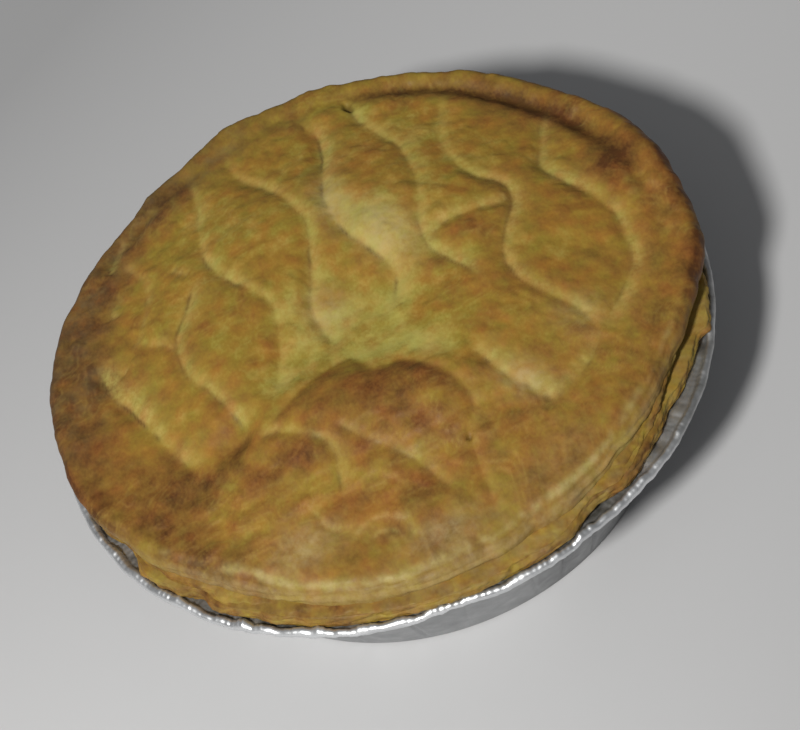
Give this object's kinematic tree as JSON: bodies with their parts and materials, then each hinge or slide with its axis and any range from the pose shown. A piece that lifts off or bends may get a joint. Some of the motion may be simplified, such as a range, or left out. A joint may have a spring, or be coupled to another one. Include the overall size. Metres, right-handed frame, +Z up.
{
  "type": "steak pie",
  "caption": "Individual round steak pie with a puffed, wavy-scored pastry lid, baked in a shallow crimped foil tray.",
  "frame": {"origin": "centre of the foil tray's flat base, on the surface that the pie stands on", "axes": "+Z up out of the lid; -Y is the front, where the lid has blistered; the scored waves run along Y"},
  "size_m": [0.125, 0.1246, 0.0448],
  "materials": {
    "foil": "bright rolled foil, pleated and creased by pressing",
    "crust": "baked flaky pastry, dull, with a greasy sheen where fat has come out",
    "pastry": "egg-washed puff pastry, satin, mottled gold to red-brown, pale in the scores"
  },
  "bodies": {
    "root": {"foil_tray": "foil", "crust_base": "crust", "pastry_lid": "pastry"}
  },
  "joints": []
}
